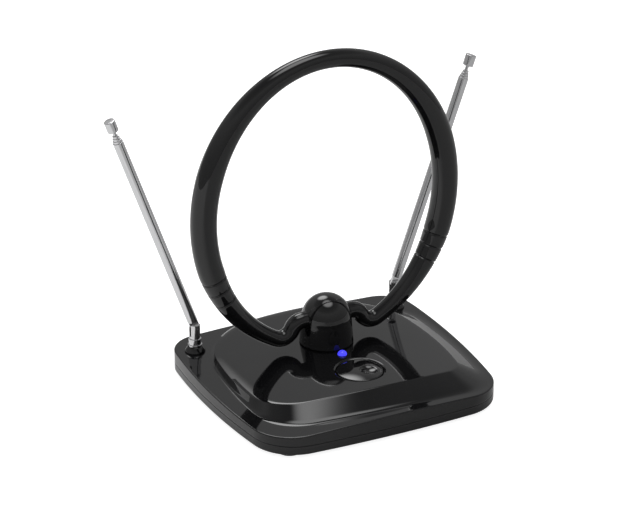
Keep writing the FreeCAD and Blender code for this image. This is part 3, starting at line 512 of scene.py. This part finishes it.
# dial: a shallow dome with an off-centre finger dimple
dialValues = {
    "y": -34.8, "radius": 15.4, "base": 22.9, "bevel": 0.5,
    "rim": 27.6, "domeRadius": 78.0, "edge": 0.8, "dimpleX": 5.0, "dimpleY": -4.2,
    "dimpleRadius": 11.0, "dimpleDepth": 2.3, "dimpleBlend": 0.4,
    "edgeSteps": 8, "topRings": 60, "around": 144, "sharpAngle": 50.0,
}


def makeDial(values):
    radius, edge, bevel, base = (values[key] for key in ("radius", "edge", "bevel", "base"))
    middle = values["rim"] - math.sqrt(values["domeRadius"] ** 2 - radius ** 2)
    bowl = middle + values["domeRadius"] - values["dimpleDepth"] + values["dimpleRadius"]
    angles = evenAngles(values["around"])

    def top(x, y):
        dome = middle + math.sqrt(values["domeRadius"] ** 2 - x * x - y * y)
        away = (x - values["dimpleX"]) ** 2 + (y - values["dimpleY"]) ** 2
        if away >= values["dimpleRadius"] ** 2:
            return dome
        hollow = bowl - math.sqrt(values["dimpleRadius"] ** 2 - away)
        return smoothMin(dome, hollow, values["dimpleBlend"])

    def topRing(reach, drop):
        return [(x, y, top(x, y) - drop) for x, y in circleSpots(reach, angles)]

    rings = []
    for reach, height in ((radius - bevel, base), (radius, base + bevel)):
        rings.append([(x, y, height) for x, y in circleSpots(reach, angles)])
    for step in range(values["edgeSteps"] + 1):
        turn = quarterTurn * step / values["edgeSteps"]
        rings.append(topRing(radius - edge * (1 - math.cos(turn)), edge * (1 - math.sin(turn))))
    for part in np.linspace(1.0, 0.0, values["topRings"])[1:-1]:
        rings.append(topRing((radius - edge) * part, 0.0))
    points, faces = skinRings(rings, True, True)
    points = [(x, y + values["y"], z) for x, y, z in points]
    return meshPiece(
        "dial", points, faces, "dial", values["sharpAngle"], ["gain_dial"])


dialPiece = makeDial(dialValues)
print("dial made")

# rods: turned pieces stand on the knuckle's pivot and lean with the rod
rodValues = {
    "x": 75.6, "y": 58.8, "pivot": 35.5, "lean": 19.8,
    "tubeRadius": (3.5, 3.01, 2.52, 2.03), "tubeTop": (151.4, 153.1, 154.8, 156.5),
    "tubeStart": (4.8, 11.0, 12.0, 13.0), "wall": 0.43, "tubeAround": 64,
    "mouth": 0.3, "mouthDepth": 3.0, "mouthGap": 0.02, "lastMouthGap": 0.06,
    "softEdge": 0.1, "softEnd": 1.0,
    "tipRadius": 1.15, "tipStart": 14.0, "tipInCap": 4.0, "tipAround": 40,
    "capBase": 160.0, "capTop": 167.8, "capRadius": 3.7, "capBaseRound": 0.35,
    "capTopRound": 0.7, "capAround": 64, "sharpAngle": 35.0,
}
collarValues = {
    "foot": 7.0, "top": 4.9, "lip": 1.0, "round": 0.5, "topRound": 0.4, "sunk": 0.4,
    "base": 17.3, "height": 3.9, "bore": 3.06, "around": 96, "sharpAngle": 45.0,
}


def leanMatrix(values, sign):
    stand = (sign * values["x"] * mm, values["y"] * mm, values["pivot"] * mm)
    lean = Matrix.Rotation(math.radians(sign * values["lean"]), 4, "Y")
    return Matrix.Translation(stand) @ lean


def makeRod(values, side, sign):
    place = leanMatrix(values, sign)
    soft = values["softEdge"]
    tip, cap = values["tipRadius"], values["capRadius"]
    pieces = []

    def addChrome(name, corners, around, body, node):
        points, faces = lathe(corners, around)
        pieces.append(meshPiece(
            name + side, points, faces, body + side, values["sharpAngle"],
            [node + side], place))

    bodies = ("rod_", "section_2_", "section_3_", "section_4_")
    tubes = zip(values["tubeRadius"], values["tubeTop"], values["tubeStart"], bodies)
    for number, (radius, top, start, body) in enumerate(tubes, 1):
        bore = radius - values["wall"]
        mouth = bore + values["mouthGap"]
        if number == len(bodies):
            mouth = tip + values["lastMouthGap"]
        corners = [
            (bore, start, 0), (radius, start, soft), (radius, start + values["softEnd"], 0),
            (radius, top, values["mouth"]), (mouth, top, soft),
            (mouth, top - values["mouthDepth"], 0)]
        addChrome(
            "rodTube%d_" % number, corners, values["tubeAround"], body, "rod_tube_%d_" % number)
    addChrome("tipRod_", [
        (0, values["tipStart"], 0), (tip, values["tipStart"], soft),
        (tip, values["capBase"] + values["tipInCap"], 0)], values["tipAround"], "tip_", "rod_tip_")
    addChrome("tipCap_", [
        (0, values["capBase"], 0), (cap, values["capBase"], values["capBaseRound"]),
        (cap, values["capTop"], values["capTopRound"]), (0, values["capTop"], 0)],
        values["capAround"], "tip_", "tip_cap_")
    return pieces


def makeCollar(values, rod, side, sign):
    place = Matrix.Translation((sign * rod["x"] * mm, rod["y"] * mm, 0))
    base, top = values["base"], values["base"] + values["height"]
    points, faces = lathe([
        (values["foot"], base - values["sunk"], 0),
        (values["foot"], base + values["lip"], values["round"]),
        (values["top"], top, values["topRound"]), (values["bore"], top, 0)], values["around"])
    return meshPiece(
        "rodCollar_" + side, points, faces, "base", values["sharpAngle"],
        ["rod_collar_" + side], place)


chromePieces = []
collars = []
for side, sign in bothSides:
    chromePieces += makeRod(rodValues, side, sign)
    collars.append(makeCollar(collarValues, rodValues, side, sign))
print("rods made")

# shared effects: groups put out only values that change over the surface
effectValues = {
    "inputs": {
        "Scale": "NodeSocketFloat", "Low": "NodeSocketFloat", "High": "NodeSocketFloat",
        "Dark": "NodeSocketColor", "Pale": "NodeSocketColor"},
    "outputs": {
        "Color": "NodeSocketColor", "Roughness": "NodeSocketFloat", "Height": "NodeSocketFloat"},
    "noiseLow": 0.3, "noiseHigh": 0.7, "slowDetail": 3.0, "fineDetail": 6.0, "finer": 9.0,
    "lineDetail": 3.0, "lineStretch": (1.0, 1.0, 0.02),
}


def addNode(tree, kind, inputs=None, **settings):
    node = tree.nodes.new(kind)
    for name, value in settings.items():
        setattr(node, name, value)
    for label, value in (inputs or {}).items():
        node.inputs[label].default_value = value
    return node


def linkAll(tree, *pairs):
    for start, end in pairs:
        tree.links.new(start, end)


def newEffect(name, values):
    group = bpy.data.node_groups.new(name, "ShaderNodeTree")
    for way, sockets in (("INPUT", values["inputs"]), ("OUTPUT", values["outputs"])):
        for label, kind in sockets.items():
            group.interface.new_socket(label, in_out=way, socket_type=kind)
    return group, group.nodes.new("NodeGroupInput")


def endEffect(group, entry, values, gloss, tone):
    # the first noise sets the roughness, the second one the colour and the relief
    leave = group.nodes.new("NodeGroupOutput")
    span = addNode(
        group, "ShaderNodeMapRange",
        {"From Min": values["noiseLow"], "From Max": values["noiseHigh"]})
    tint = addNode(group, "ShaderNodeMix", data_type="RGBA")
    linkAll(
        group,
        (gloss.outputs[0], span.inputs["Value"]),
        (entry.outputs["Low"], span.inputs["To Min"]),
        (entry.outputs["High"], span.inputs["To Max"]),
        (tone.outputs[0], tint.inputs[0]),
        (entry.outputs["Dark"], tint.inputs[6]),
        (entry.outputs["Pale"], tint.inputs[7]),
        (tint.outputs[2], leave.inputs["Color"]),
        (span.outputs[0], leave.inputs["Roughness"]),
        (tone.outputs[0], leave.inputs["Height"]))
    return group


def makeMouldedEffect(values):
    # slow waviness of a moulded skin and fine handling marks in the gloss
    group, entry = newEffect("mouldedFinish", values)
    where = addNode(group, "ShaderNodeTexCoord")
    slow = addNode(group, "ShaderNodeTexNoise", {"Detail": values["slowDetail"]})
    fine = addNode(group, "ShaderNodeTexNoise", {"Detail": values["fineDetail"]})
    finer = addNode(group, "ShaderNodeMath", {1: values["finer"]}, operation="MULTIPLY")
    linkAll(
        group,
        (where.outputs["Object"], slow.inputs["Vector"]),
        (where.outputs["Object"], fine.inputs["Vector"]),
        (entry.outputs["Scale"], slow.inputs["Scale"]),
        (entry.outputs["Scale"], finer.inputs[0]),
        (finer.outputs[0], fine.inputs["Scale"]))
    return endEffect(group, entry, values, fine, slow)


def makeDrawnEffect(values):
    # fine lines left along a drawn tube, with a little wander in the polish
    group, entry = newEffect("drawnMetal", values)
    where = addNode(group, "ShaderNodeTexCoord")
    stretch = addNode(
        group, "ShaderNodeVectorMath", {1: values["lineStretch"]}, operation="MULTIPLY")
    lines = addNode(group, "ShaderNodeTexNoise", {"Detail": values["lineDetail"]})
    linkAll(
        group,
        (where.outputs["Object"], stretch.inputs[0]),
        (stretch.outputs[0], lines.inputs["Vector"]),
        (entry.outputs["Scale"], lines.inputs["Scale"]))
    return endEffect(group, entry, values, lines, lines)


effects = {"moulded": makeMouldedEffect(effectValues), "drawn": makeDrawnEffect(effectValues)}

# finishes: named after the record's slots, with what the shader's own sockets hold
finishValues = {
    "gloss_black": {
        "name": "glossBlack", "effect": "moulded", "Scale": 45.0, "Low": 0.03, "High": 0.06,
        "Dark": (0.0035, 0.0035, 0.004, 1), "Pale": (0.006, 0.006, 0.0065, 1),
        "bump": 0.015, "depth": 0.0004, "IOR": 1.5},
    "foot_rubber": {
        "name": "footRubber", "effect": "moulded", "Scale": 300.0, "Low": 0.6, "High": 0.8,
        "Dark": (0.012, 0.012, 0.012, 1), "Pale": (0.022, 0.022, 0.022, 1),
        "bump": 0.4, "depth": 0.0004, "IOR": 1.45},
    "bright_chrome": {
        "name": "brightChrome", "effect": "drawn", "Scale": 2500.0, "Low": 0.07, "High": 0.17,
        "Dark": (0.55, 0.55, 0.56, 1), "Pale": (0.72, 0.72, 0.73, 1),
        "bump": 0.05, "depth": 0.0001, "IOR": 1.5, "Metallic": 1.0},
    "screw_steel": {
        "name": "screwSteel", "effect": "drawn", "Scale": 1500.0, "Low": 0.25, "High": 0.4,
        "Dark": (0.32, 0.32, 0.34, 1), "Pale": (0.5, 0.5, 0.52, 1),
        "bump": 0.1, "depth": 0.0002, "IOR": 1.5, "Metallic": 1.0},
    "board_green": {
        "name": "boardGreen", "effect": "moulded", "Scale": 200.0, "Low": 0.3, "High": 0.5,
        "Dark": (0.015, 0.09, 0.03, 1), "Pale": (0.03, 0.16, 0.06, 1),
        "bump": 0.2, "depth": 0.0002, "IOR": 1.5},
    "control_grey": {
        "name": "controlGrey", "effect": "moulded", "Scale": 250.0, "Low": 0.4, "High": 0.55,
        "Dark": (0.12, 0.12, 0.13, 1), "Pale": (0.2, 0.2, 0.21, 1),
        "bump": 0.2, "depth": 0.0002, "IOR": 1.45},
    "gland_black": {
        "name": "glandBlack", "effect": "moulded", "Scale": 400.0, "Low": 0.55, "High": 0.7,
        "Dark": (0.01, 0.01, 0.01, 1), "Pale": (0.018, 0.018, 0.018, 1),
        "bump": 0.3, "depth": 0.0002, "IOR": 1.45},
    "washer_white": {
        "name": "washerWhite", "effect": "moulded", "Scale": 400.0, "Low": 0.35, "High": 0.5,
        "Dark": (0.62, 0.6, 0.55, 1), "Pale": (0.75, 0.73, 0.68, 1),
        "bump": 0.2, "depth": 0.0002, "IOR": 1.5},
    "wire_copper": {
        "name": "wireCopper", "effect": "drawn", "Scale": 1200.0, "Low": 0.25, "High": 0.4,
        "Dark": (0.5, 0.24, 0.11, 1), "Pale": (0.78, 0.45, 0.26, 1),
        "bump": 0.1, "depth": 0.0002, "IOR": 1.5, "Metallic": 1.0},
    "lamp_blue": {
        "name": "lampBlue", "effect": "moulded", "Scale": 500.0, "Low": 0.06, "High": 0.12,
        "Dark": (0.02, 0.02, 0.6, 1), "Pale": (0.07, 0.07, 0.9, 1),
        "bump": 0.02, "depth": 0.0001, "IOR": 1.5,
        "Emission Color": (0.06, 0.06, 1.0, 1), "Emission Strength": 0.9},
}
shaderSockets = ("IOR", "Metallic", "Emission Color", "Emission Strength")
nodeSharpAngle = 35.0  # for the solids that show as they are


def makeFinish(values):
    material = bpy.data.materials.new(values["name"])
    material.use_nodes = True
    tree = material.node_tree
    shader = tree.nodes["Principled BSDF"]
    effect = addNode(tree, "ShaderNodeGroup", node_tree=effects[values["effect"]])
    for label in effectValues["inputs"]:
        effect.inputs[label].default_value = values[label]
    for label in shaderSockets:
        if label in values:
            shader.inputs[label].default_value = values[label]
    bump = addNode(
        tree, "ShaderNodeBump", {"Strength": values["bump"], "Distance": values["depth"]})
    linkAll(
        tree,
        (effect.outputs["Color"], shader.inputs["Base Color"]),
        (effect.outputs["Roughness"], shader.inputs["Roughness"]),
        (effect.outputs["Height"], bump.inputs["Height"]),
        (bump.outputs["Normal"], shader.inputs["Normal"]))
    return material


finishes = {slot: makeFinish(values) for slot, values in finishValues.items()}


def coat(piece, slot):
    piece.data.materials.clear()
    piece.data.materials.append(finishes[slot])


for entry in frame["record"]["subparts"]:
    node = nodes[entry["node"]]
    coat(node, entry["material_slot"])
    smoothShading(node.data, nodeSharpAngle)
blackPieces = [topCover, postFront, postRear, postNeck, loopTube, dialPiece] + collars
for pieces, slot in (
        (blackPieces, "gloss_black"), (chromePieces, "bright_chrome"), (feet, "foot_rubber")):
    for piece in pieces:
        coat(piece, slot)
print("finishes set")

# stage: a pale floor and soft studio light; the sky's levels run from straight down to straight up
stageValues = {
    "floorSize": 6.0, "floorColor": (0.56, 0.56, 0.56, 1), "floorLift": 0.9,
    # the glow values paint light onto the floor: its emission, seen only in reflections, is painted
    # brighter toward the back left
    "glowFrom": -0.06, "glowTo": 0.09, "glowLow": 0.0, "glowHigh": 0.42,
    "glowToward": (-0.8, 0.6, 0.0), "white": (1, 1, 1, 1),
    "sky": (
        (0.0, 0.35), (0.5, 0.36), (0.6, 0.38), (0.71, 0.46), (0.79, 0.52), (0.9, 0.32),
        (0.97, 0.24)),
    "softSpots": (
        {"toward": (0.07, -0.03, 0.99), "inner": 8.0, "outer": 24.0, "level": 3.6},
        {"toward": (0.1, 0.63, 0.77), "inner": 3.0, "outer": 18.0, "level": 5.5},
    ),
}


def directRays(tree, path):
    # what the camera sees straight on or through something clear
    either = addNode(tree, "ShaderNodeMath", operation="ADD")
    linkAll(
        tree,
        (path.outputs["Is Camera Ray"], either.inputs[0]),
        (path.outputs["Is Transmission Ray"], either.inputs[1]))
    return either.outputs[0]


def makeFloor(values):
    half = values["floorSize"] * 0.5
    mesh = bpy.data.meshes.new("paleFloor")
    corners = [(-half, -half, 0), (half, -half, 0), (half, half, 0), (-half, half, 0)]
    mesh.from_pydata(corners, [], [(0, 1, 2, 3)])
    floor = bpy.data.objects.new("paleFloor", mesh)
    bpy.context.scene.collection.objects.link(floor)
    material = bpy.data.materials.new("paleFloor")
    material.use_nodes = True
    tree = material.node_tree
    tree.nodes.clear()
    leave = addNode(tree, "ShaderNodeOutputMaterial")
    matte = addNode(tree, "ShaderNodeBsdfDiffuse", {"Color": values["floorColor"]})
    lift = addNode(tree, "ShaderNodeEmission", {"Color": values["white"]})
    path = addNode(tree, "ShaderNodeLightPath")
    seen = addNode(tree, "ShaderNodeMath", {1: values["floorLift"]}, operation="MULTIPLY")
    where = addNode(tree, "ShaderNodeTexCoord")
    # painted light: the floor's emission for glossy rays grows toward the back left, standing in
    # for light falling there
    across = addNode(
        tree, "ShaderNodeVectorMath", {1: values["glowToward"]}, operation="DOT_PRODUCT")
    glow = addNode(tree, "ShaderNodeMapRange", {
        "From Min": values["glowFrom"], "From Max": values["glowTo"],
        "To Min": values["glowLow"], "To Max": values["glowHigh"]})
    mirrored = addNode(tree, "ShaderNodeMath", operation="MULTIPLY")
    level = addNode(tree, "ShaderNodeMath", operation="ADD")
    total = addNode(tree, "ShaderNodeAddShader")
    linkAll(
        tree,
        (directRays(tree, path), seen.inputs[0]),
        (where.outputs["Object"], across.inputs[0]),
        (across.outputs["Value"], glow.inputs["Value"]),
        (path.outputs["Is Glossy Ray"], mirrored.inputs[0]),
        (glow.outputs[0], mirrored.inputs[1]),
        (seen.outputs[0], level.inputs[0]),
        (mirrored.outputs[0], level.inputs[1]),
        (level.outputs[0], lift.inputs["Strength"]),
        (matte.outputs[0], total.inputs[0]),
        (lift.outputs[0], total.inputs[1]),
        (total.outputs[0], leave.inputs["Surface"]))
    mesh.materials.append(material)


def skyRamp(tree, values):
    ramp = tree.nodes.new("ShaderNodeValToRGB")
    ramp.color_ramp.interpolation = "EASE"
    marks = ramp.color_ramp.elements
    for place, _ in values["sky"][len(marks):]:
        marks.new(place)
    for mark, (place, level) in zip(marks, values["sky"]):
        mark.position = place
        mark.color = (level, level, level, 1)
    return ramp


def makeSky(values):
    world = bpy.data.worlds.new("studio")
    bpy.context.scene.world = world
    world.use_nodes = True
    tree = world.node_tree
    tree.nodes.clear()
    leave = addNode(tree, "ShaderNodeOutputWorld")
    where = addNode(tree, "ShaderNodeTexCoord")
    split = addNode(tree, "ShaderNodeSeparateXYZ")
    height = addNode(tree, "ShaderNodeMapRange", {"From Min": -1.0})
    ramp = skyRamp(tree, values)
    room = addNode(tree, "ShaderNodeBackground")
    white = addNode(tree, "ShaderNodeBackground", {"Color": values["white"]})
    path = addNode(tree, "ShaderNodeLightPath")
    mix = addNode(tree, "ShaderNodeMixShader")
    light = ramp.outputs["Color"]
    for spot in values["softSpots"]:
        toward = Vector(spot["toward"]).normalized()
        facing = addNode(tree, "ShaderNodeVectorMath", {1: toward}, operation="DOT_PRODUCT")
        soft = addNode(tree, "ShaderNodeMapRange", {
            "From Min": math.cos(math.radians(spot["outer"])),
            "From Max": math.cos(math.radians(spot["inner"])),
            "To Max": spot["level"]}, interpolation_type="SMOOTHERSTEP")
        added = addNode(tree, "ShaderNodeVectorMath", operation="ADD")
        linkAll(
            tree,
            (where.outputs["Generated"], facing.inputs[0]),
            (facing.outputs["Value"], soft.inputs["Value"]),
            (light, added.inputs[0]),
            (soft.outputs[0], added.inputs[1]))
        light = added.outputs["Vector"]
    linkAll(
        tree,
        (where.outputs["Generated"], split.inputs[0]),
        (split.outputs["Z"], height.inputs["Value"]),
        (height.outputs[0], ramp.inputs["Fac"]),
        (light, room.inputs["Color"]),
        (directRays(tree, path), mix.inputs["Fac"]),
        (room.outputs[0], mix.inputs[1]),
        (white.outputs[0], mix.inputs[2]),
        (mix.outputs[0], leave.inputs["Surface"]))


makeFloor(stageValues)
makeSky(stageValues)
bpy.context.scene.view_settings.view_transform = "Standard"
print("stage set")
